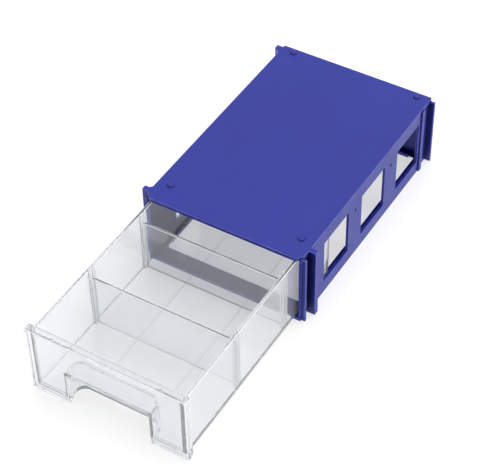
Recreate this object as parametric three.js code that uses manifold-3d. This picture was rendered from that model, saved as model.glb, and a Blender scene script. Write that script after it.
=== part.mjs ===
// Stackable parts drawer: moulded housing, clear drawer and two lift-out dividers.
// Units are millimetres, +Z is up, the drawer opens towards -Y, rest pose is drawer pulled out.
import * as THREE from 'three';
import * as BufferGeometryUtils from 'three/addons/utils/BufferGeometryUtils.js';
import Module from 'manifold-3d';

const wasm = await Module();
wasm.setup();

// ---- housing ----
const WIDTH = 90;
const DEPTH = 140;
const HEIGHT = 43;
const PLATE = 2.0;
const WALL = 1.6;
const FLOOR = 2.0;
const FRONT_CORNER = 5.5;
const REAR_CORNER = 0.8;
const POST_SETBACK = 0.8;
const FLOOR_SETBACK = 0.4;

const WINDOW_FIRST = 23.7;
const WINDOW_PITCH = 38.9;
const WINDOW_WIDTH = 25.2;
const WINDOW_LOW = 7.4;
const WINDOW_HIGH = 34.4;
const WINDOW_CORNER = 0.9;

const LEDGE = 5.6;
const FRONT_BORDER = 9.7;
const REAR_BORDER = 4.8;

const STUD_X = 7.3;
const STUD_FRONT_Y = 13.6;
const STUD_REAR_Y = 136.8;
const STUD_R = 2.0;
const STUD_H = 1.0;
const SOCKET_R = 2.3;
const SOCKET_H = 1.2;

// male keys on the left side, female channels on the right side
const KEY_REACH = 3.8;
const KEY_THICK = 2.8;
const KEY_FRONT_Y = 4.3;
const KEY_REAR_Y = 135.6;
const CHANNEL_FLOOR_X = 89.2;
const FRONT_LIP_X = 92.0;
const FRONT_LIP_Y = [1.4, 2.8];
const FRONT_RIDGE_X = 94.0;
const FRONT_RIDGE_Y = [7.7, 10.7];
const REAR_RIDGE_X = 90.9;
const REAR_RIDGE_Y = [128.2, 131.0];
const REAR_LIP_X = 92.3;
const REAR_LIP_Y = [138.6, 140.0];

// ---- drawer ----
const PULLED_OUT = 101.1;
const DRAWER_LENGTH = 136.8;
const DRAWER_LEFT = 3.0;
const DRAWER_RIGHT = 87.0;
const DRAWER_WALL = 1.6;
const DRAWER_LOW = 2.6;
const DRAWER_FLOOR = 4.2;
const DRAWER_HIGH = 40.4;
const REAR_CORNER_R = 2.4;

const PANEL_LEFT = 1.2;
const PANEL_RIGHT = 88.8;
const PANEL_LOW = 0.5;
const PANEL_HIGH = 41.6;
const PANEL_THICK = 2.0;
const RIM_DEPTH = 4.5;
const LIP_OVERHANG = 0.6;
const LIP_FORWARD = 0.1;
const LIP_THICK = 1.6;
const NUB_X = [15, 75];

const RECESS_LEFT = 22;
const RECESS_RIGHT = 68;
const RECESS_HIGH = 20.5;
const RECESS_DEPTH = 11;
const RECESS_WALL = 1.6;
const RECESS_CORNER = 5;

const SLOT_AT = [48, 92];
const SLOT_GAP = 2.0;
const SLOT_RIB = 1.0;
const SLOT_REACH = 1.8;

const RUNNER_X = [28.4, 61.6];
const RUNNER_WIDTH = 0.8;
const RUNNER_DROP = 0.35;

// ---- dividers ----
const DIVIDER_THICK = 1.4;
const DIVIDER_LEFT = 5.0;
const DIVIDER_RIGHT = 85.0;
const DIVIDER_LOW = 4.5;
const DIVIDER_HIGH = 35.2;
const DIVIDER_CORNER = 2.5;

// the shared frame sits under the middle of the whole object in its rest pose
const SHIFT_X = -(FRONT_RIDGE_X - KEY_REACH) / 2;
const SHIFT_Y = -(DEPTH - PULLED_OUT - LIP_FORWARD) / 2;

const BLUE = { color: 0x3c4296, roughness: 0.42, metalness: 0 };
const CLEAR = { color: 0xdfe6ea, roughness: 0.12, metalness: 0 };

function solid(geometry) {
  let g = geometry.clone();
  g.deleteAttribute('normal');
  g.deleteAttribute('uv');
  g = BufferGeometryUtils.mergeVertices(g, 1e-5);
  const mesh = new wasm.Mesh({
    numProp: 3,
    vertProperties: new Float32Array(g.attributes.position.array),
    triVerts: new Uint32Array(g.index.array),
  });
  return new wasm.Manifold(mesh);
}

function box(x0, x1, y0, y1, z0, z1) {
  const g = new THREE.BoxGeometry(x1 - x0, y1 - y0, z1 - z0);
  g.translate((x0 + x1) / 2, (y0 + y1) / 2, (z0 + z1) / 2);
  return solid(g);
}

// rectangle outline with one radius per corner, in the order (a0,b0) (a1,b0) (a1,b1) (a0,b1)
function outline(a0, b0, a1, b1, radii) {
  const s = new THREE.Shape();
  const corners = [
    [a0, b0, radii[0], Math.PI],
    [a1, b0, radii[1], 1.5 * Math.PI],
    [a1, b1, radii[2], 0],
    [a0, b1, radii[3], 0.5 * Math.PI],
  ];
  const inward = [[1, 1], [-1, 1], [-1, -1], [1, -1]];
  corners.forEach(([a, b, r, start], i) => {
    if (r > 0) {
      s.absarc(a + inward[i][0] * r, b + inward[i][1] * r, r, start, start + Math.PI / 2, false);
    } else if (i === 0) {
      s.moveTo(a, b);
    } else {
      s.lineTo(a, b);
    }
  });
  s.closePath();
  return s;
}

function prismZ(shape, z0, z1, curve = 6) {
  const g = new THREE.ExtrudeGeometry(shape, {
    depth: z1 - z0,
    bevelEnabled: false,
    curveSegments: curve,
  });
  g.translate(0, 0, z0);
  return solid(g);
}

// outline is given in (y, z) and runs along X
function prismX(shape, x0, x1, curve = 6) {
  const g = new THREE.ExtrudeGeometry(shape, {
    depth: x1 - x0,
    bevelEnabled: false,
    curveSegments: curve,
  });
  const m = new THREE.Matrix4().makeBasis(
    new THREE.Vector3(0, 1, 0),
    new THREE.Vector3(0, 0, 1),
    new THREE.Vector3(1, 0, 0),
  );
  g.applyMatrix4(m);
  g.translate(x0, 0, 0);
  return solid(g);
}

// outline is given in (x, z) and runs along Y
function prismY(shape, y0, y1, curve = 6) {
  const g = new THREE.ExtrudeGeometry(shape, {
    depth: y1 - y0,
    bevelEnabled: false,
    curveSegments: curve,
  });
  g.rotateX(Math.PI / 2);
  g.translate(0, y1, 0);
  return solid(g);
}

function polygon(points) {
  return new THREE.Shape(points.map(([x, y]) => new THREE.Vector2(x, y)));
}

function cylinderZ(x, y, r, z0, z1, around = 28) {
  const g = new THREE.CylinderGeometry(r, r, z1 - z0, around);
  g.rotateX(Math.PI / 2);
  g.translate(x, y, (z0 + z1) / 2);
  return solid(g);
}

function dome(x, y, z, r, h, root = 0.4, around = 24) {
  const big = (r * r + h * h) / (2 * h);
  const top = Math.asin(r / big);
  const profile = [new THREE.Vector2(0, -root), new THREE.Vector2(r, -root)];
  for (let i = 0; i < 5; i += 1) {
    const t = top * (1 - i / 5);
    profile.push(new THREE.Vector2(big * Math.sin(t), big * Math.cos(t) - (big - h)));
  }
  profile.push(new THREE.Vector2(0, h));
  const g = new THREE.LatheGeometry(profile, around);
  g.rotateX(Math.PI / 2);
  g.translate(x, y, z);
  return solid(g);
}

function addAll(first, rest) {
  return rest.reduce((whole, piece) => whole.add(piece), first);
}

function cutAll(first, rest) {
  return rest.reduce((whole, piece) => whole.subtract(piece), first);
}

function toMesh(name, manifold, finish) {
  const m = manifold.getMesh();
  const g = new THREE.BufferGeometry();
  const points = new Float32Array(m.numVert * 3);
  for (let i = 0; i < m.numVert; i += 1) {
    for (let k = 0; k < 3; k += 1) {
      points[3 * i + k] = m.vertProperties[m.numProp * i + k];
    }
  }
  g.setAttribute('position', new THREE.BufferAttribute(points, 3));
  g.setIndex(new THREE.BufferAttribute(new Uint32Array(m.triVerts), 1));
  g.translate(SHIFT_X, SHIFT_Y, 0);
  const flat = g.toNonIndexed();
  flat.computeVertexNormals();
  const mesh = new THREE.Mesh(flat, new THREE.MeshStandardMaterial(finish));
  mesh.name = name;
  return mesh;
}

function windowCuts(x0, x1) {
  return [0, 1, 2].map((i) => {
    const y = WINDOW_FIRST + i * WINDOW_PITCH;
    const r = WINDOW_CORNER;
    const hole = outline(y, WINDOW_LOW, y + WINDOW_WIDTH, WINDOW_HIGH, [r, r, r, r]);
    return prismX(hole, x0, x1, 3);
  });
}

function housingShell() {
  const plate = prismZ(
    outline(0, 0, WIDTH, DEPTH, [FRONT_CORNER, FRONT_CORNER, REAR_CORNER, REAR_CORNER]),
    HEIGHT - PLATE,
    HEIGHT,
    8,
  );
  const under = HEIGHT - PLATE + 0.5;
  const left = box(0, WALL, POST_SETBACK, DEPTH - 0.5, 0, under);
  const right = box(WIDTH - WALL, WIDTH, POST_SETBACK, DEPTH - 0.5, 0, under);
  const back = prismZ(
    outline(0, DEPTH - WALL, WIDTH, DEPTH, [0, 0, REAR_CORNER, REAR_CORNER]),
    0,
    under,
    3,
  );
  const opening = prismZ(
    outline(LEDGE, FRONT_BORDER, WIDTH - LEDGE, DEPTH - REAR_BORDER, [1, 1, 1, 1]),
    -1,
    FLOOR + 1,
    3,
  );
  const floor = box(0, WIDTH, FLOOR_SETBACK, DEPTH - 0.5, 0, FLOOR).subtract(opening);
  const shell = addAll(plate, [left, right, back, floor]);
  return cutAll(shell, [...windowCuts(-1, WALL + 0.4), ...windowCuts(WIDTH - WALL - 0.4, WIDTH + 1)]);
}

function sideKeys() {
  const front = box(-KEY_REACH, WALL / 2, KEY_FRONT_Y, KEY_FRONT_Y + KEY_THICK, 0, HEIGHT);
  const root = KEY_FRONT_Y + KEY_THICK;
  const frontRoot = prismZ(
    polygon([
      [0.5, root - 0.5],
      [0.5, root + 1.3],
      [0, root + 1.3],
      [-1.2, root],
      [-1.2, root - 0.5],
    ]),
    0,
    HEIGHT,
  );
  const rear = box(-KEY_REACH + 0.2, WALL / 2, KEY_REAR_Y, KEY_REAR_Y + KEY_THICK, 0, HEIGHT);
  const gusset = prismZ(
    polygon([
      [0.5, KEY_REAR_Y + 0.5],
      [-2.6, KEY_REAR_Y + 0.5],
      [-2.6, KEY_REAR_Y - 0.4],
      [0, KEY_REAR_Y - 3.0],
      [0.5, KEY_REAR_Y - 3.0],
    ]),
    0,
    HEIGHT,
  );
  return [front, frontRoot, rear, gusset];
}

function sideChannels() {
  const inner = WIDTH - WALL / 2;
  const lip = box(inner, FRONT_LIP_X, FRONT_LIP_Y[0], FRONT_LIP_Y[1], 0, HEIGHT - 1);
  const ridge = box(inner, FRONT_RIDGE_X, FRONT_RIDGE_Y[0], FRONT_RIDGE_Y[1], 0, HEIGHT);
  const rearRidge = box(inner, REAR_RIDGE_X, REAR_RIDGE_Y[0], REAR_RIDGE_Y[1], 0, HEIGHT - 1.6);
  const rearLip = box(inner, REAR_LIP_X, REAR_LIP_Y[0], REAR_LIP_Y[1], 0, HEIGHT - 2.4);
  return [lip, ridge, rearRidge, rearLip];
}

function channelCuts() {
  const top = HEIGHT - PLATE;
  return [
    box(CHANNEL_FLOOR_X, WIDTH + 1, FRONT_LIP_Y[1], FRONT_RIDGE_Y[0], -1, top),
    box(CHANNEL_FLOOR_X, WIDTH + 1, REAR_RIDGE_Y[1], REAR_LIP_Y[0], -1, top),
  ];
}

function studPlaces() {
  return [
    [STUD_X, STUD_FRONT_Y],
    [WIDTH - STUD_X, STUD_FRONT_Y],
    [STUD_X, STUD_REAR_Y],
    [WIDTH - STUD_X, STUD_REAR_Y],
  ];
}

function mullionTicks() {
  return [0, 1].map((i) => {
    const y = WINDOW_FIRST + WINDOW_WIDTH + (WINDOW_PITCH - WINDOW_WIDTH) / 2 + i * WINDOW_PITCH;
    const g = new THREE.SphereGeometry(0.7, 12, 8);
    g.scale(0.8, 0.8, 2.0);
    g.translate(WIDTH - 0.05, y, 30.5);
    return solid(g);
  });
}

function housing() {
  let body = housingShell();
  body = cutAll(body, channelCuts());
  body = addAll(body, [...sideKeys(), ...sideChannels(), ...mullionTicks()]);
  body = addAll(body, studPlaces().map(([x, y]) => dome(x, y, HEIGHT, STUD_R, STUD_H)));
  body = cutAll(body, studPlaces().map(([x, y]) => cylinderZ(x, y, SOCKET_R, -1, SOCKET_H)));
  return toMesh('housing', body, BLUE);
}

function drawerTub() {
  const y0 = -PULLED_OUT;
  const y1 = y0 + DRAWER_LENGTH;
  const r = REAR_CORNER_R;
  const outer = prismZ(
    outline(DRAWER_LEFT, y0 + 0.5, DRAWER_RIGHT, y1, [0, 0, r, r]),
    DRAWER_LOW,
    DRAWER_HIGH,
    5,
  );
  const ri = r - DRAWER_WALL + 0.6;
  const inner = prismZ(
    outline(
      DRAWER_LEFT + DRAWER_WALL,
      y0 + PANEL_THICK,
      DRAWER_RIGHT - DRAWER_WALL,
      y1 - DRAWER_WALL,
      [0.6, 0.6, ri, ri],
    ),
    DRAWER_FLOOR,
    DRAWER_HIGH + 5,
    4,
  );
  return outer.subtract(inner);
}

function drawerFront() {
  const y0 = -PULLED_OUT;
  const inL = DRAWER_LEFT + 0.6;
  const inR = DRAWER_RIGHT - 0.6;
  const tray = box(PANEL_LEFT, PANEL_RIGHT, y0, y0 + RIM_DEPTH, PANEL_LOW, PANEL_HIGH - 0.7);
  const pocket = box(inL, inR, y0 + PANEL_THICK, y0 + RIM_DEPTH + 1, DRAWER_LOW + 0.6, PANEL_HIGH + 1);
  const lip = box(
    PANEL_LEFT - LIP_OVERHANG,
    PANEL_RIGHT + LIP_OVERHANG,
    y0 - LIP_FORWARD,
    y0 + RIM_DEPTH - 0.3,
    PANEL_HIGH - LIP_THICK,
    PANEL_HIGH,
  );
  const nubs = NUB_X.map((x) => dome(x, y0 + 1.6, PANEL_HIGH, 0.9, 0.5, 0.4, 16));
  return [tray.subtract(pocket), lip, ...nubs];
}

function recessBlock(grow, back, high, low) {
  const y0 = -PULLED_OUT;
  const r = RECESS_CORNER + grow;
  return prismZ(
    outline(RECESS_LEFT - grow, y0 + low, RECESS_RIGHT + grow, y0 + back, [0, 0, r, r]),
    grow > 0 ? DRAWER_LOW : -2,
    high,
    6,
  );
}

function slotRibs() {
  const y0 = -PULLED_OUT;
  const out = [];
  SLOT_AT.forEach((s) => {
    [s - SLOT_GAP / 2 - SLOT_RIB, s + SLOT_GAP / 2].forEach((a) => {
      const w = DRAWER_LEFT + DRAWER_WALL;
      const e = DRAWER_RIGHT - DRAWER_WALL;
      const z0 = DRAWER_FLOOR - 0.5;
      out.push(box(w - 0.5, w + SLOT_REACH, y0 + a, y0 + a + SLOT_RIB, z0, DRAWER_HIGH));
      out.push(box(e - SLOT_REACH, e + 0.5, y0 + a, y0 + a + SLOT_RIB, z0, DRAWER_HIGH));
    });
  });
  return out;
}

function runners() {
  const y0 = -PULLED_OUT;
  return RUNNER_X.map((x) => box(
    x - RUNNER_WIDTH / 2,
    x + RUNNER_WIDTH / 2,
    y0 + RECESS_DEPTH + RECESS_WALL,
    y0 + DRAWER_LENGTH - 3,
    DRAWER_LOW - RUNNER_DROP,
    DRAWER_LOW + 0.5,
  ));
}

function drawer() {
  let body = addAll(drawerTub(), drawerFront());
  const back = RECESS_DEPTH + RECESS_WALL;
  body = body.add(recessBlock(RECESS_WALL, back, RECESS_HIGH + RECESS_WALL, 0.5));
  body = body.subtract(recessBlock(0, RECESS_DEPTH, RECESS_HIGH, -2));
  body = addAll(body, [...slotRibs(), ...runners()]);
  return toMesh('drawer', body, CLEAR);
}

function divider(name, at) {
  const r = DIVIDER_CORNER;
  const face = outline(DIVIDER_LEFT, DIVIDER_LOW, DIVIDER_RIGHT, DIVIDER_HIGH, [0.8, 0.8, r, r]);
  const y = -PULLED_OUT + at;
  const sheet = prismY(face, y - DIVIDER_THICK / 2, y + DIVIDER_THICK / 2, 5);
  return toMesh(name, sheet, CLEAR);
}

const organizer = new THREE.Group();
organizer.name = 'parts_organizer';
organizer.add(housing());
organizer.add(drawer());
organizer.add(divider('divider_front', SLOT_AT[0]));
organizer.add(divider('divider_rear', SLOT_AT[1]));

export default organizer;
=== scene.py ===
import math

import bmesh
import bpy
from mathutils import Euler, Matrix, Vector


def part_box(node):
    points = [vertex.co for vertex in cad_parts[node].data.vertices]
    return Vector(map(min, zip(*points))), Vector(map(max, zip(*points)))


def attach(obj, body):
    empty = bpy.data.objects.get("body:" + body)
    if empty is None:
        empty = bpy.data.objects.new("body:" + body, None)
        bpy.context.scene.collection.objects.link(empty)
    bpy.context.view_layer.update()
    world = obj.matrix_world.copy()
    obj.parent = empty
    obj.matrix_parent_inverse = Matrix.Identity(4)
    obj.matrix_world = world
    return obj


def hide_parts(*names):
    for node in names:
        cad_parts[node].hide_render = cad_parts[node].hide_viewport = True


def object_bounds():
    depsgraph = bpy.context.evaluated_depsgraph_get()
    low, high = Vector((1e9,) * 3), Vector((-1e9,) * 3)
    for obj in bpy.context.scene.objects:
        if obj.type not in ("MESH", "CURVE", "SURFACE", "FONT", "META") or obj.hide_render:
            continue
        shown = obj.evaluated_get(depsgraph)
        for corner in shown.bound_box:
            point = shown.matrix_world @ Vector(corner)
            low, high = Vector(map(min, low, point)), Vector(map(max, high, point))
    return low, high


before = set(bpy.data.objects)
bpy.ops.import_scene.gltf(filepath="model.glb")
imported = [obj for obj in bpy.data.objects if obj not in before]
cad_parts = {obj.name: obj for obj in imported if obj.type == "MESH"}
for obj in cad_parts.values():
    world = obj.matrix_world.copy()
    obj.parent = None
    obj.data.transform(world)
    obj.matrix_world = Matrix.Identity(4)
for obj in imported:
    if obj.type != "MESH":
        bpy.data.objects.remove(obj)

cad_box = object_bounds()

# Shapes are made in millimetres in the housing's own frame, which has its origin at the front left
# foot of the housing's walls, and are then put into the shared frame in metres.
MM = 0.001

# How far a cut runs past what it cuts, and how far a part runs into the one that it joins.
OVERRUN = 1
TUCK = 1
SHORT_TUCK = 0.5

# ---- housing ----
KEY_REACH = 3.8
RIDGE_REACH = 4.0
STUD_H = 1.0
HOUSING_LOW, HOUSING_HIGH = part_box("housing")
WIDTH = (HOUSING_HIGH.x - HOUSING_LOW.x) / MM - KEY_REACH - RIDGE_REACH
DEPTH = (HOUSING_HIGH.y - HOUSING_LOW.y) / MM
HEIGHT = (HOUSING_HIGH.z - HOUSING_LOW.z) / MM - STUD_H
ORIGIN = Vector((HOUSING_LOW.x + KEY_REACH * MM, HOUSING_LOW.y, HOUSING_LOW.z))
PLATE = 2.0
WALL = 1.6
FLOOR = 2.0
FRONT_CORNER = 5.5
REAR_CORNER = 0.8
POST_SETBACK = 0.8
FLOOR_SETBACK = 0.3
FLOOR_INSET = 0.2
OPENING_CORNER = 1
WINDOWS = 3
WINDOW_FIRST = 23.7
WINDOW_PITCH = 38.9
WINDOW_WIDTH = 25.2
WINDOW_LOW = 7.4
WINDOW_HIGH = 34.4
WINDOW_CORNER = 0.9
WINDOW_OVERRUN = 0.4
TICK_Z = 30.5
TICK_SIZE = (0.5, 0.5, 1.3)
TICK_SINK = 0.05
LEDGE = 5.6
FRONT_BORDER = 9.7
REAR_BORDER = 4.8
STUD_X = 7.3
STUD_Y = (13.6, 136.8)
STUD_R = 2.0
SOCKET_R = 2.3
SOCKET_H = 1.2
SOCKET_LEAD = 0.2
KEY_THICK = 2.8
KEY_FRONT_Y = 4.3
KEY_REAR_Y = 135.6
KEY_REAR_REACH = KEY_REACH - 0.2
KEY_FILLET_REACH = 1.2
KEY_FILLET_RUN = 1.3
GUSSET_REACH = 2.6
GUSSET_STEP = 0.6
GUSSET_RUN = 3.0
CHANNEL_FLOOR_X = WIDTH - 1.0
CHANNEL_ROOT_X = WIDTH - 1.1
# The uprights of the channels: outermost X, first Y, last Y and top.
FRONT_LIP = (WIDTH + 2.0, 1.4, 2.8, HEIGHT - 1)
FRONT_RIDGE = (WIDTH + RIDGE_REACH, 7.7, 10.7, HEIGHT)
REAR_RIDGE = (WIDTH + 0.9, 128.2, 131.0, HEIGHT - 1.6)
REAR_LIP = (WIDTH + 2.3, 138.6, DEPTH, HEIGHT - 2.4)

# ---- drawer ----
LIP_OVERHANG = 0.6
LIP_FORWARD = 0.5
DRAWER_LOW_CORNER, DRAWER_HIGH_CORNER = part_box("drawer")
LIP_LEFT = (DRAWER_LOW_CORNER.x - ORIGIN.x) / MM
LIP_RIGHT = (DRAWER_HIGH_CORNER.x - ORIGIN.x) / MM
PANEL_LEFT = LIP_LEFT + LIP_OVERHANG
PANEL_RIGHT = LIP_RIGHT - LIP_OVERHANG
PANEL_LOW = DRAWER_LOW_CORNER.z / MM
PANEL_HIGH = 41.6
PANEL_THICK = 1.6
RIM_DEPTH = 4.6
RIM_INSET = 0.6
LIP_THICK = 1.8
LIP_TUCK = 0.7
LIP_FRONT = (DRAWER_LOW_CORNER.y - ORIGIN.y) / MM
PANEL_FRONT = LIP_FRONT + LIP_FORWARD
SIDE_STEP = 1.8
TUB_LEFT = PANEL_LEFT + SIDE_STEP
TUB_RIGHT = PANEL_RIGHT - SIDE_STEP
TUB_REAR = (DRAWER_HIGH_CORNER.y - ORIGIN.y) / MM
TUB_WALL = 1.6
TUB_LOW = 2.6
TUB_FLOOR = 4.2
TUB_HIGH = 40.4
TUB_CORNER = 2.4
TUB_INNER_FRONT = 1.0
TUB_INNER_REAR = TUB_CORNER - 1.0
TUB_OPEN = 5
FLOOR_FILLET = 0.5
NUB_X = (15.0, 75.0)
NUB_SETBACK = 1.9
NUB_R = 0.7
NUB_H = 0.5
NUB_ROOT = 0.15
NUB_SIDES = 24
RECESS_LEFT = 22.0
RECESS_RIGHT = 68.0
RECESS_HIGH = 20.5
RECESS_BACK = LIP_FRONT + 11.1
RECESS_WALL = 1.6
RECESS_CORNER = 5.0
RECESS_TOP_CORNER = 0.8
RECESS_TOP_GROWTH = 0.5
RECESS_OVERRUN = 2
SLOT_GAP = 2.0
SLOT_RIB = 1.0
SLOT_REACH = 1.8
RUNNER_X = (28.4, 61.6)
RUNNER_WIDTH = 0.8
RUNNER_DROP = 0.35
RUNNER_START = 1
RUNNER_STOP = 3

# ---- dividers ----
DIVIDERS = ("divider_front", "divider_rear")
DIVIDER_CORNER = 2.5
DIVIDER_FOOT = 0.8
DIVIDER_EDGE = 0.22

# ---- finish of the mouldings ----
SOFT_EDGE = 0.24
EDGE_STEPS = 3
EDGE_FACES = 1
ROOM_SHARE = 0.42
SHARPEST = math.radians(40)
FLATTEST = math.radians(0.6)
WELD = 0.002
FACE_WEIGHT = 100
ARC_STEPS = 9
ROUND_SIDES = 32
DOME_ROOT = 0.12
DOME_SKIRT = 0.02
DOME_FILLET = (0.5, 1.0, 1.45)
DOME_STEPS = 7
DOME_FULLNESS = 0.6
MARK_R = 1.6
MARK_DEPTH = 0.12
MARK_SOFT_R = 0.05
MARK_SOFT_Z = 0.04
MARK_SIDES = 28
MARK_Y = (40, 75, 110)

# ---- plastics and floor: colours, and sizes in metres ----
BLUE = ((0.0085, 0.0165, 0.262), (0.0100, 0.0190, 0.285))
# Colour of the painted highlight on the housing's rounded edges.
BLUE_PAINTED_HIGHLIGHT = (0.15, 0.16, 0.52)
# Near-black colour of the painted shade in the housing's grooves and slots.
BLUE_PAINTED_SHADE = (0.001, 0.0015, 0.035)
BLUE_IOR = 1.46
# How far the painted shade in grooves looks for nearby parts, and with how many samples.
PAINTED_SHADE_REACH = 0.007
PAINTED_SHADE_SAMPLES = 8
DRAWER_TINT = ((0.955, 0.972, 1.0), (0.98, 0.988, 1.0))
DIVIDER_TINT = ((0.955, 0.97, 0.995), (0.978, 0.985, 1.0))
CLEAR_IOR = 1.59
MILKINESS = 0.08
CLOUD_SHARE = 0.4
EDGE_MILKINESS = 0.9
EDGE_ROUGHNESS = 0.22
FLOOR_GREY = ((0.43, 0.435, 0.44), (0.45, 0.45, 0.45))
FLOOR_LIGHT = (1.0, 1.0, 0.99)
FLOOR_GLOW = 0.60
FLOOR_SHEEN = 0.2

# ---- stage ----
CAMERA_AZIMUTH = 32.04
CAMERA_ELEVATION = 44.6
CAMERA_DISTANCE = 0.8116
CAMERA_ROLL = -1.27
CAMERA_LENS = 120.0
NEAREST_SEEN = 0.01
FLOOR_SPREAD = 30.0
FLOOR_DROP = 0.0002
OVERHEAD = {"place": (0.25, 0.35, 1.5), "size": (1.6, 1.4), "power": 9.5}
RIGHT = {"place": (1.3, 0.1, 0.7), "size": (1.0, 0.8), "power": 2.4}
SKY_COLOUR = (0.985, 0.992, 1.0)
SKY_STRENGTH = {"From Min": -0.7, "From Max": 0.6, "To Min": 0.78, "To Max": 0.95}
MOST_BOUNCES = 24
GLOSSY_BOUNCES = 8

# Which way an outline's two axes and the axis across it lie, for a solid pushed along X, Y or Z.
PLACES = {
    "X": lambda a, b, c: (c, a, b),
    "Y": lambda a, b, c: (a, c, b),
    "Z": lambda a, b, c: (a, b, c),
}


# ---------------------------------------------------------------- shapes
def solid(bm):
    """An object that holds this bmesh, with all faces turned outwards."""
    bmesh.ops.recalc_face_normals(bm, faces=bm.faces)
    mesh = bpy.data.meshes.new("shape")
    bm.to_mesh(mesh)
    bm.free()
    made = bpy.data.objects.new("shape", mesh)
    bpy.context.scene.collection.objects.link(made)
    return made


def quarter(centre_a, centre_b, radius, start):
    """Points of a quarter circle in a plane, counterclockwise from the start in degrees."""
    points = []
    for i in range(ARC_STEPS + 1):
        angle = math.radians(start + 90.0 * i / ARC_STEPS)
        points.append((centre_a + radius * math.cos(angle), centre_b + radius * math.sin(angle)))
    return points


def outline(a0, b0, a1, b1, radii=(0, 0, 0, 0)):
    """Rectangle with one radius per corner, in the order (a0,b0) (a1,b0) (a1,b1) (a0,b1)."""
    corners = ((a0, b0, 1, 1, 180), (a1, b0, -1, 1, 270), (a1, b1, -1, -1, 0), (a0, b1, 1, -1, 90))
    points = []
    for (a, b, in_a, in_b, start), r in zip(corners, radii):
        if r > 0:
            points += quarter(a + in_a * r, b + in_b * r, r, start)
        else:
            points.append((a, b))
    return points


def prism(points, low, high, along="Z"):
    """Closed solid: an outline across the axis, pushed along it."""
    at = PLACES[along]
    bm = bmesh.new()
    ends = [[bm.verts.new(at(a, b, c)) for a, b in points] for c in (low, high)]
    for ring in ends:
        bm.faces.new(ring)
    count = len(points)
    for i in range(count):
        j = (i + 1) % count
        bm.faces.new((ends[0][i], ends[0][j], ends[1][j], ends[1][i]))
    return solid(bm)


def block(x0, x1, y0, y1, z0, z1):
    """A plain box, only used as a part of a larger solid."""
    return prism(outline(x0, y0, x1, y1), z0, z1)


def turned(profile, x, y, z, around=ROUND_SIDES):
    """Solid of revolution about an upright axis at (x, y); the profile holds (radius, height) pairs."""
    bm = bmesh.new()
    rings = []
    for radius, height in profile:
        if radius == 0:
            rings.append([bm.verts.new((x, y, z + height))])
            continue
        ring = []
        for i in range(around):
            angle = 2 * math.pi * i / around
            point = (x + radius * math.cos(angle), y + radius * math.sin(angle), z + height)
            ring.append(bm.verts.new(point))
        rings.append(ring)
    for low, high in zip(rings, rings[1:]):
        for i in range(around):
            j = (i + 1) % around
            if len(low) == 1:
                bm.faces.new((low[0], high[i], high[j]))
            elif len(high) == 1:
                bm.faces.new((low[i], low[j], high[0]))
            else:
                bm.faces.new((low[i], low[j], high[j], high[i]))
    return solid(bm)


def dome(x, y, z, radius, height, root=DOME_ROOT, around=ROUND_SIDES):
    """Round button with a small fillet where it grows out of the surface at z."""
    foot = radius + root
    profile = [(0, -SHORT_TUCK), (foot, -SHORT_TUCK), (foot, -DOME_SKIRT)]
    profile += [(radius + root * (1 - math.sin(t)), root * (1 - math.cos(t))) for t in DOME_FILLET]
    for i in range(1, DOME_STEPS):
        t = math.pi / 2 * i / DOME_STEPS
        profile.append((radius * math.cos(t) ** DOME_FULLNESS, root + (height - root) * math.sin(t)))
    profile.append((0, height))
    return turned(profile, x, y, z, around)


def keep_result(made):
    """Makes what the modifiers give the object's own mesh."""
    graph = bpy.context.evaluated_depsgraph_get()
    mesh = bpy.data.meshes.new_from_object(made.evaluated_get(graph))
    made.modifiers.clear()
    made.data = mesh
    return made


def combine(whole, operation, parts):
    """Joins parts to the whole, or cuts them out of it, one after another."""
    for part in parts:
        step = whole.modifiers.new("step", "BOOLEAN")
        step.operation = operation
        step.solver = "MANIFOLD"
        step.object = part
        keep_result(whole)
        bpy.data.objects.remove(part)
    return whole


def join(whole, parts):
    return combine(whole, "UNION", parts)


def cut(whole, parts):
    return combine(whole, "DIFFERENCE", parts)


def trim(whole, parts):
    """Keeps only what lies inside every one of the parts."""
    return combine(whole, "INTERSECT", parts)


def clean(made):
    """Merges doubled points and dissolves the seams that joins leave in flat faces."""
    bm = bmesh.new()
    bm.from_mesh(made.data)
    bmesh.ops.remove_doubles(bm, verts=bm.verts, dist=WELD)
    bmesh.ops.dissolve_limit(bm, angle_limit=FLATTEST, verts=bm.verts, edges=bm.edges)
    bm.to_mesh(made.data)
    bm.free()
    return made


def turns_sharply(corner, edges):
    """Whether the sharp edges that meet at this corner do more than run on in one smooth line."""
    if len(edges) != 2:
        return True
    first, second = (edge.other_vert(corner).co - corner.co for edge in edges)
    return first.angle(-second) > SHARPEST


def share_rounding(made, radius):
    """Gives every outer edge its share of the radius, less where a short edge leaves no room for it."""
    bm = bmesh.new()
    bm.from_mesh(made.data)
    share = bm.edges.layers.float.new("bevel_weight_edge")
    sharp = {edge for edge in bm.edges if edge.calc_face_angle(0) > SHARPEST}
    room = {edge: radius for edge in sharp if edge.is_convex}
    for corner in bm.verts:
        mine = [edge for edge in corner.link_edges if edge in sharp]
        if len(mine) < 2 or not turns_sharply(corner, mine):
            continue
        for edge in mine:
            if edge in room:
                shortest = min(other.calc_length() for other in mine if other is not edge)
                room[edge] = min(room[edge], ROOM_SHARE * shortest)
    for edge, width in room.items():
        edge[share] = width / radius
    bm.to_mesh(made.data)
    bm.free()


def soften(made, radius=SOFT_EDGE):
    """Rounds the outer edges of a moulding, with the rounded faces in the second material slot."""
    clean(made)
    share_rounding(made, radius)
    made.data.materials.append(None)
    made.data.materials.append(None)
    bevel = made.modifiers.new("soft_edges", "BEVEL")
    bevel.width = radius
    bevel.material = EDGE_FACES
    bevel.segments = EDGE_STEPS
    bevel.limit_method = "WEIGHT"
    bevel.use_clamp_overlap = False
    return keep_result(made)


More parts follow.
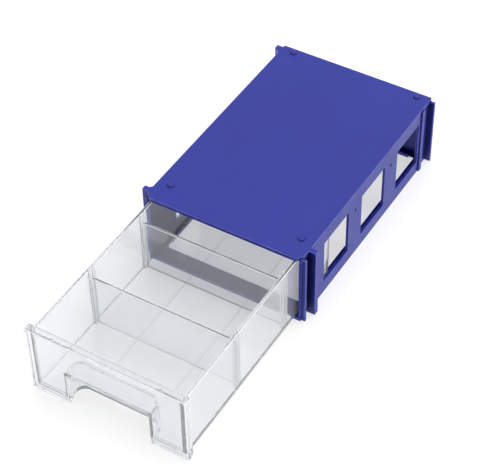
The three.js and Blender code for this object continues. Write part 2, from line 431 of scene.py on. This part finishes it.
def settle(made, name, body, node, material):
    """Puts a finished moulding into the shared frame, smooth where it is round, on its body."""
    made.data.transform(Matrix.Translation(ORIGIN) @ Matrix.Scale(MM, 4))
    made.data.shade_smooth()
    made.data.set_sharp_from_angle(angle=SHARPEST)
    normals = made.modifiers.new("normals", "WEIGHTED_NORMAL")
    normals.keep_sharp = True
    normals.weight = FACE_WEIGHT
    keep_result(made)
    made.name = name
    made.data.name = name
    rounded = [float(face.material_index == EDGE_FACES) for face in made.data.polygons]
    made.data.attributes.new("edge", "FLOAT", "FACE").data.foreach_set("value", rounded)
    made.data.materials.clear()
    made.data.materials.append(material)
    made.data.polygons.foreach_set("material_index", [0] * len(made.data.polygons))
    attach(made, body)
    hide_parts(node)
    return made


# ---------------------------------------------------------------- housing
def housing_shell():
    """Top plate, side walls, back wall, and the floor with its large opening."""
    under = HEIGHT - PLATE
    inside = DEPTH - TUCK
    corners = (FRONT_CORNER, FRONT_CORNER, REAR_CORNER, REAR_CORNER)
    plate = prism(outline(0, 0, WIDTH, DEPTH, corners), under, HEIGHT)
    left = block(0, WALL, POST_SETBACK, inside, 0, under)
    right = block(WIDTH - WALL, WIDTH, POST_SETBACK, inside, 0, under)
    back = prism(outline(0, DEPTH - WALL, WIDTH, DEPTH, (0, 0, REAR_CORNER, REAR_CORNER)), 0, under)
    floor = block(FLOOR_INSET, WIDTH - FLOOR_INSET, FLOOR_SETBACK, inside, 0, FLOOR)
    shell = join(plate, [left, right, back, floor])
    opening = outline(LEDGE, FRONT_BORDER, WIDTH - LEDGE, DEPTH - REAR_BORDER, (OPENING_CORNER,) * 4)
    return cut(shell, [prism(opening, -OVERRUN, FLOOR + OVERRUN)])


def windows():
    """Cuts for a row of windows through each side wall."""
    cuts = []
    left = (-OVERRUN, WALL + WINDOW_OVERRUN)
    right = (WIDTH - WALL - WINDOW_OVERRUN, WIDTH + OVERRUN)
    for x0, x1 in (left, right):
        for i in range(WINDOWS):
            y = WINDOW_FIRST + i * WINDOW_PITCH
            hole = outline(y, WINDOW_LOW, y + WINDOW_WIDTH, WINDOW_HIGH, (WINDOW_CORNER,) * 4)
            cuts.append(prism(hole, x0, x1, "X"))
    return cuts


def left_keys():
    """The linking ribs on the left side: one with a fillet behind it, one with a gusset before it."""
    root = KEY_FRONT_Y + KEY_THICK
    front = block(-KEY_REACH, WALL / 2, KEY_FRONT_Y, root, 0, HEIGHT)
    fillet = (
        (SHORT_TUCK, root - SHORT_TUCK),
        (SHORT_TUCK, root + KEY_FILLET_RUN),
        (0, root + KEY_FILLET_RUN),
        (-KEY_FILLET_REACH, root),
        (-KEY_FILLET_REACH, root - SHORT_TUCK),
    )
    rear = block(-KEY_REAR_REACH, WALL / 2, KEY_REAR_Y, KEY_REAR_Y + KEY_THICK, 0, HEIGHT)
    gusset = (
        (SHORT_TUCK, KEY_REAR_Y + SHORT_TUCK),
        (-GUSSET_REACH, KEY_REAR_Y + SHORT_TUCK),
        (-GUSSET_REACH, KEY_REAR_Y - GUSSET_STEP),
        (0, KEY_REAR_Y - GUSSET_RUN),
        (SHORT_TUCK, KEY_REAR_Y - GUSSET_RUN),
    )
    return [front, prism(fillet, 0, HEIGHT), rear, prism(gusset, 0, HEIGHT)]


def right_channels():
    """The uprights on the right side that hold a neighbour's ribs between them."""
    uprights = (FRONT_LIP, FRONT_RIDGE, REAR_RIDGE, REAR_LIP)
    return [block(CHANNEL_ROOT_X, reach, y0, y1, 0, top) for reach, y0, y1, top in uprights]


def channel_cuts():
    """Sinks the wall a little between the two uprights of each channel."""
    top = HEIGHT - PLATE
    return [
        block(CHANNEL_FLOOR_X, WIDTH + OVERRUN, FRONT_LIP[2], FRONT_RIDGE[1], -OVERRUN, top),
        block(CHANNEL_FLOOR_X, WIDTH + OVERRUN, REAR_RIDGE[2], REAR_LIP[1], -OVERRUN, top),
    ]


def stud_places():
    """Where the stacking studs and the sockets under them stand."""
    return [(x, y) for x in (STUD_X, WIDTH - STUD_X) for y in STUD_Y]


def mullion_ticks():
    """Small raised marks on the posts between the right side's windows."""
    ticks = []
    for i in range(WINDOWS - 1):
        y = WINDOW_FIRST + WINDOW_WIDTH + (WINDOW_PITCH - WINDOW_WIDTH) / 2 + i * WINDOW_PITCH
        bm = bmesh.new()
        shape = Matrix.Translation((WIDTH - TICK_SINK, y, TICK_Z)) @ Matrix.Diagonal((*TICK_SIZE, 1))
        bmesh.ops.create_uvsphere(bm, u_segments=16, v_segments=10, radius=1, matrix=shape)
        ticks.append(solid(bm))
    return ticks


def sockets():
    """Cuts for the stacking sockets under the base, each with a small lead-in."""
    mouth = SOCKET_R + SOCKET_LEAD
    profile = (
        (0, -OVERRUN),
        (mouth, -OVERRUN),
        (mouth, 0),
        (SOCKET_R, SOCKET_LEAD),
        (SOCKET_R, SOCKET_H),
        (0, SOCKET_H),
    )
    return [turned(profile, x, y, 0) for x, y in stud_places()]


def ejector_marks():
    """Cuts for the shallow round prints that the mould's pins leave under the base."""
    profile = (
        (0, -OVERRUN),
        (MARK_R, -OVERRUN),
        (MARK_R, MARK_DEPTH - MARK_SOFT_Z),
        (MARK_R - MARK_SOFT_R, MARK_DEPTH),
        (0, MARK_DEPTH),
    )
    middles = (LEDGE / 2, WIDTH - LEDGE / 2)
    return [turned(profile, x, y, 0, MARK_SIDES) for x in middles for y in MARK_Y]


def make_housing():
    made = cut(housing_shell(), windows() + channel_cuts())
    made = soften(join(made, left_keys() + right_channels()))
    made = join(made, [dome(x, y, HEIGHT, STUD_R, STUD_H) for x, y in stud_places()])
    made = join(made, mullion_ticks())
    return cut(made, sockets() + ejector_marks())


# ---------------------------------------------------------------- drawer
def tub():
    """The outer form, and the hollow with its rounded corners and the fillet round its floor."""
    corners = (0, 0, TUB_CORNER, TUB_CORNER)
    plan = outline(TUB_LEFT, PANEL_FRONT + SHORT_TUCK, TUB_RIGHT, TUB_REAR, corners)
    outer = prism(plan, TUB_LOW, TUB_HIGH)
    x0, x1 = TUB_LEFT + TUB_WALL, TUB_RIGHT - TUB_WALL
    y0, y1 = PANEL_FRONT + PANEL_THICK, TUB_REAR - TUB_WALL
    top = TUB_HIGH + TUB_OPEN
    corners = (TUB_INNER_FRONT, TUB_INNER_FRONT, TUB_INNER_REAR, TUB_INNER_REAR)
    hollow = prism(outline(x0, y0, x1, y1, corners), TUB_FLOOR, top)
    fillet = (FLOOR_FILLET, FLOOR_FILLET, 0, 0)
    across = prism(outline(x0, TUB_FLOOR, x1, top, fillet), y0 - OVERRUN, y1 + OVERRUN, "Y")
    along = prism(outline(y0, TUB_FLOOR, y1, top, fillet), x0 - OVERRUN, x1 + OVERRUN, "X")
    return outer, trim(hollow, [across, along])


def front_panel():
    """The panel with its turned-back rim, and the lip along its top edge."""
    back = LIP_FRONT + RIM_DEPTH
    tray = block(PANEL_LEFT, PANEL_RIGHT, PANEL_FRONT, back, PANEL_LOW, PANEL_HIGH - LIP_TUCK)
    hollow = block(
        TUB_LEFT + RIM_INSET,
        TUB_RIGHT - RIM_INSET,
        PANEL_FRONT + PANEL_THICK,
        back + OVERRUN,
        TUB_LOW + RIM_INSET,
        PANEL_HIGH + OVERRUN,
    )
    cut(tray, [hollow])
    lip = block(LIP_LEFT, LIP_RIGHT, LIP_FRONT, back, PANEL_HIGH - LIP_THICK, PANEL_HIGH)
    return [tray, lip]


def recess(grow, back, high, low_y, low_z):
    """The finger recess, or the wall round it, which is the same form grown by its thickness."""
    r = RECESS_CORNER + grow
    top_r = RECESS_TOP_CORNER + grow * RECESS_TOP_GROWTH
    x0, x1 = RECESS_LEFT - grow, RECESS_RIGHT + grow
    form = prism(outline(x0, low_y, x1, back, (0, 0, r, r)), low_z, high)
    face = outline(x0, low_z, x1, high, (0, 0, top_r, top_r))
    return trim(form, [prism(face, low_y - OVERRUN, back + OVERRUN, "Y")])


def divider_slots():
    """A pair of upright ribs on each side wall for each divider."""
    ribs = []
    left = TUB_LEFT + TUB_WALL
    right = TUB_RIGHT - TUB_WALL
    low = TUB_FLOOR - SHORT_TUCK
    for node in DIVIDERS:
        lowest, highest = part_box(node)
        middle = ((lowest.y + highest.y) / 2 - ORIGIN.y) / MM
        for y in (middle - SLOT_GAP / 2 - SLOT_RIB, middle + SLOT_GAP / 2):
            ribs.append(block(left - SHORT_TUCK, left + SLOT_REACH, y, y + SLOT_RIB, low, TUB_HIGH))
            ribs.append(block(right - SLOT_REACH, right + SHORT_TUCK, y, y + SLOT_RIB, low, TUB_HIGH))
    return ribs


def runners():
    """Low ribs under the floor, from the finger recess to near the back."""
    y0 = RECESS_BACK + RECESS_WALL + RUNNER_START
    y1 = TUB_REAR - RUNNER_STOP
    low = TUB_LOW - RUNNER_DROP
    half = RUNNER_WIDTH / 2
    return [block(x - half, x + half, y0, y1, low, TUB_LOW + SHORT_TUCK) for x in RUNNER_X]


def make_drawer():
    outer, inner = tub()
    made = cut(outer, [inner])
    made = join(made, front_panel())
    back = RECESS_BACK + RECESS_WALL
    high = RECESS_HIGH + RECESS_WALL
    made = join(made, [recess(RECESS_WALL, back, high, PANEL_FRONT + SHORT_TUCK, TUB_LOW)])
    made = cut(made, [recess(0, RECESS_BACK, RECESS_HIGH, LIP_FRONT - RECESS_OVERRUN, -RECESS_OVERRUN)])
    made = soften(join(made, divider_slots()))
    made = join(made, runners())
    y = LIP_FRONT + NUB_SETBACK
    return join(made, [dome(x, y, PANEL_HIGH, NUB_R, NUB_H, NUB_ROOT, NUB_SIDES) for x in NUB_X])


# ---------------------------------------------------------------- dividers
def make_divider(node):
    lowest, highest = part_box(node)
    low = (lowest - ORIGIN) / MM
    high = (highest - ORIGIN) / MM
    radii = (DIVIDER_FOOT, DIVIDER_FOOT, DIVIDER_CORNER, DIVIDER_CORNER)
    made = prism(outline(low.x, low.z, high.x, high.z, radii), low.y, high.y, "Y")
    return soften(made, DIVIDER_EDGE)


# ---------------------------------------------------------------- materials
class Nodes:
    """Short hands for a material's node tree."""

    def __init__(self, name):
        self.material = bpy.data.materials.new(name)
        self.material.use_nodes = True
        self.tree = self.material.node_tree
        self.shader = self.tree.nodes["Principled BSDF"]
        self.place = self.add("ShaderNodeTexCoord").outputs["Object"]

    def add(self, kind, **settings):
        node = self.tree.nodes.new(kind)
        for key, value in settings.items():
            setattr(node, key, value)
        return node

    def link(self, out, into):
        self.tree.links.new(out, into)

    def noise(self, scale, detail=3.0, roughness=0.5, stretch=(1, 1, 1), turn=(0, 0, 0)):
        mapping = self.add("ShaderNodeMapping")
        mapping.inputs["Scale"].default_value = stretch
        mapping.inputs["Rotation"].default_value = turn
        self.link(self.place, mapping.inputs["Vector"])
        texture = self.add("ShaderNodeTexNoise")
        texture.inputs["Scale"].default_value = scale
        texture.inputs["Detail"].default_value = detail
        texture.inputs["Roughness"].default_value = roughness
        self.link(mapping.outputs["Vector"], texture.inputs["Vector"])
        return texture.outputs["Fac"]

    def spread(self, value, low, high, to_low=0.0, to_high=1.0):
        node = self.add("ShaderNodeMapRange")
        node.inputs["From Min"].default_value = low
        node.inputs["From Max"].default_value = high
        node.inputs["To Min"].default_value = to_low
        node.inputs["To Max"].default_value = to_high
        self.link(value, node.inputs["Value"])
        return node.outputs["Result"]

    def mix(self, factor, first, second):
        node = self.add("ShaderNodeMix", data_type="RGBA")
        for socket, value in ((node.inputs[6], first), (node.inputs[7], second)):
            if isinstance(value, tuple):
                socket.default_value = (*value, 1)
            else:
                self.link(value, socket)
        self.link(factor, node.inputs[0])
        return node.outputs[2]

    def bump(self, height, strength, distance, under=None):
        node = self.add("ShaderNodeBump")
        node.inputs["Strength"].default_value = strength
        node.inputs["Distance"].default_value = distance
        self.link(height, node.inputs["Height"])
        if under is not None:
            self.link(under, node.inputs["Normal"])
        return node.outputs["Normal"]

    def edges(self):
        """1 on the rounded edges of a moulding, 0 on its faces."""
        return self.add("ShaderNodeAttribute", attribute_name="edge").outputs["Fac"]

    def add_values(self, first, second, operation="ADD"):
        node = self.add("ShaderNodeMath", operation=operation)
        self.link(first, node.inputs[0])
        self.link(second, node.inputs[1])
        return node.outputs["Value"]


def blue_plastic():
    """Semi-gloss moulded plastic: cloudy pigment, painted highlights on the rounded edges, painted
    shade in grooves, grain, light scuffs.
    """
    n = Nodes("housing_plastic")
    n.shader.inputs["IOR"].default_value = BLUE_IOR
    cloud = n.noise(scale=28, detail=4, roughness=0.55, stretch=(1, 0.35, 1))
    colour = n.mix(n.spread(cloud, low=0.35, high=0.65), *BLUE)
    # Painted highlight: the rounded edges are lightened towards pale blue, in random patches.
    highlight_patchiness = n.spread(n.noise(scale=130, roughness=0.6), low=0.35, high=0.65, to_low=0.35, to_high=0.85)
    colour = n.mix(n.add_values(n.edges(), highlight_patchiness, "MULTIPLY"), colour, BLUE_PAINTED_HIGHLIGHT)
    # Painted shade: the colour darkens to near black in grooves and slots, where other parts of the
    # housing lie close by.
    groove_occlusion = n.add("ShaderNodeAmbientOcclusion", samples=PAINTED_SHADE_SAMPLES, only_local=True)
    groove_occlusion.inputs["Distance"].default_value = PAINTED_SHADE_REACH
    free_of_painted_shade = n.spread(groove_occlusion.outputs["AO"], low=0.45, high=0.9)
    n.link(n.mix(free_of_painted_shade, BLUE_PAINTED_SHADE, colour), n.shader.inputs["Base Color"])
    scuffs = n.noise(scale=260, detail=2, roughness=0.6, stretch=(1, 0.06, 1), turn=(0.3, 0.2, 0.5))
    scuffs = n.spread(scuffs, low=0.66, high=0.74, to_high=0.06)
    skin = n.noise(scale=55, detail=5, roughness=0.6)
    skin = n.spread(skin, low=0.3, high=0.7, to_low=0.36, to_high=0.47)
    n.link(n.add_values(skin, scuffs), n.shader.inputs["Roughness"])
    grain = n.noise(scale=2600, detail=2, roughness=0.6)
    grain = n.bump(grain, strength=0.12, distance=0.00006)
    waves = n.noise(scale=70, detail=2)
    n.link(n.bump(waves, strength=0.10, distance=0.0004, under=grain), n.shader.inputs["Normal"])
    return n.material


def clear_plastic(name, tint):
    """Polished clear polystyrene: faint haze, milky edges, soft flow waves, hairline scratches."""
    n = Nodes(name)
    n.shader.inputs["IOR"].default_value = CLEAR_IOR
    milk = n.spread(n.noise(scale=18), low=0.35, high=0.65, to_high=MILKINESS * CLOUD_SHARE)
    clearness = n.spread(n.edges(), low=0, high=1, to_low=1 - MILKINESS, to_high=1 - EDGE_MILKINESS)
    n.link(n.add_values(clearness, milk, "SUBTRACT"), n.shader.inputs["Transmission Weight"])
    haze = n.noise(scale=34, detail=4, roughness=0.6)
    n.link(n.mix(n.spread(haze, low=0.35, high=0.7), *tint), n.shader.inputs["Base Color"])
    scratches = n.noise(scale=420, detail=2, stretch=(1, 0.05, 1), turn=(0.4, 0.1, 0.7))
    scratches = n.spread(scratches, low=0.68, high=0.74, to_high=0.05)
    polish = n.noise(scale=60, detail=4, roughness=0.6)
    polish = n.spread(polish, low=0.35, high=0.7, to_low=0.015, to_high=0.05)
    polish = n.add_values(polish, n.spread(n.edges(), low=0, high=1, to_high=EDGE_ROUGHNESS))
    n.link(n.add_values(polish, scratches), n.shader.inputs["Roughness"])
    flow = n.noise(scale=26, detail=2, stretch=(1, 0.5, 1))
    n.link(n.bump(flow, strength=0.03, distance=0.0008), n.shader.inputs["Normal"])
    return n.material


def pale_floor():
    """Frosted white sheet lit from below, as on a light table, so that it shows hardly any shadow."""
    n = Nodes("pale_floor")
    n.shader.inputs["Emission Color"].default_value = (*FLOOR_LIGHT, 1)
    n.shader.inputs["Emission Strength"].default_value = FLOOR_GLOW
    n.shader.inputs["Specular IOR Level"].default_value = FLOOR_SHEEN
    shade = n.spread(n.noise(scale=3, detail=2), low=0.3, high=0.7)
    n.link(n.mix(shade, *FLOOR_GREY), n.shader.inputs["Base Color"])
    tooth = n.spread(n.noise(scale=400, roughness=0.6), low=0.3, high=0.7, to_low=0.7, to_high=0.85)
    n.link(tooth, n.shader.inputs["Roughness"])
    return n.material


# ---------------------------------------------------------------- stage
def make_floor():
    bm = bmesh.new()
    bmesh.ops.create_grid(bm, x_segments=1, y_segments=1, size=FLOOR_SPREAD)
    floor = solid(bm)
    floor.name = "floor"
    floor.location.z = cad_box[0].z - FLOOR_DROP
    floor.data.materials.append(pale_floor())


def make_world():
    """White studio, a little darker on the side that the drawer faces."""
    world = bpy.data.worlds.new("studio")
    bpy.context.scene.world = world
    world.use_nodes = True
    tree = world.node_tree
    background = tree.nodes["Background"]
    place = tree.nodes.new("ShaderNodeTexCoord")
    split = tree.nodes.new("ShaderNodeSeparateXYZ")
    tree.links.new(place.outputs["Generated"], split.inputs["Vector"])
    ramp = tree.nodes.new("ShaderNodeMapRange")
    ramp.interpolation_type = "SMOOTHSTEP"
    for key, value in SKY_STRENGTH.items():
        ramp.inputs[key].default_value = value
    tree.links.new(split.outputs["Y"], ramp.inputs["Value"])
    tree.links.new(ramp.outputs["Result"], background.inputs["Strength"])
    background.inputs["Color"].default_value = (*SKY_COLOUR, 1)


def add_softbox(name, aim, place, size, power):
    data = bpy.data.lights.new(name, "AREA")
    data.shape = "RECTANGLE"
    data.size, data.size_y = size
    data.energy = power
    lamp = bpy.data.objects.new(name, data)
    lamp.location = place
    lamp.rotation_euler = (Vector(aim) - Vector(place)).to_track_quat("-Z", "Y").to_euler()
    bpy.context.scene.collection.objects.link(lamp)


def make_lights(centre):
    add_softbox("overhead_softbox", centre, **OVERHEAD)
    add_softbox("right_softbox", centre, **RIGHT)


def make_camera(centre):
    """Stands at the photo's angle, aimed at the middle of the object."""
    azimuth = math.radians(CAMERA_AZIMUTH)
    elevation = math.radians(CAMERA_ELEVATION)
    back = Vector((
        math.sin(azimuth) * math.cos(elevation),
        -math.cos(azimuth) * math.cos(elevation),
        math.sin(elevation),
    ))
    data = bpy.data.cameras.new("camera")
    data.lens = CAMERA_LENS
    data.clip_start = NEAREST_SEEN
    camera = bpy.data.objects.new("camera", data)
    camera.location = centre + back * CAMERA_DISTANCE
    facing = (-back).to_track_quat("-Z", "Y").to_matrix()
    roll = Euler((0, 0, math.radians(CAMERA_ROLL))).to_matrix()
    camera.rotation_euler = (facing @ roll).to_euler()
    bpy.context.scene.collection.objects.link(camera)
    bpy.context.scene.camera = camera


def set_light_paths():
    """Clear walls stand one behind another, so light is followed through all of them."""
    scene = bpy.context.scene
    scene.cycles.max_bounces = MOST_BOUNCES
    scene.cycles.transmission_bounces = MOST_BOUNCES
    scene.cycles.glossy_bounces = GLOSSY_BOUNCES
    scene.view_settings.view_transform = "Standard"


# ---------------------------------------------------------------- the whole
object_centre = (cad_box[0] + cad_box[1]) / 2
make_camera(object_centre)
make_world()
make_lights(object_centre)
make_floor()
set_light_paths()

housing_finish = blue_plastic()
drawer_finish = clear_plastic("drawer_plastic", DRAWER_TINT)
divider_finish = clear_plastic("divider_plastic", DIVIDER_TINT)

settle(make_housing(), "housing_moulding", "housing", "housing", housing_finish)
settle(make_drawer(), "drawer_moulding", "drawer", "drawer", drawer_finish)
for node in DIVIDERS:
    settle(make_divider(node), node + "_sheet", node, node, divider_finish)
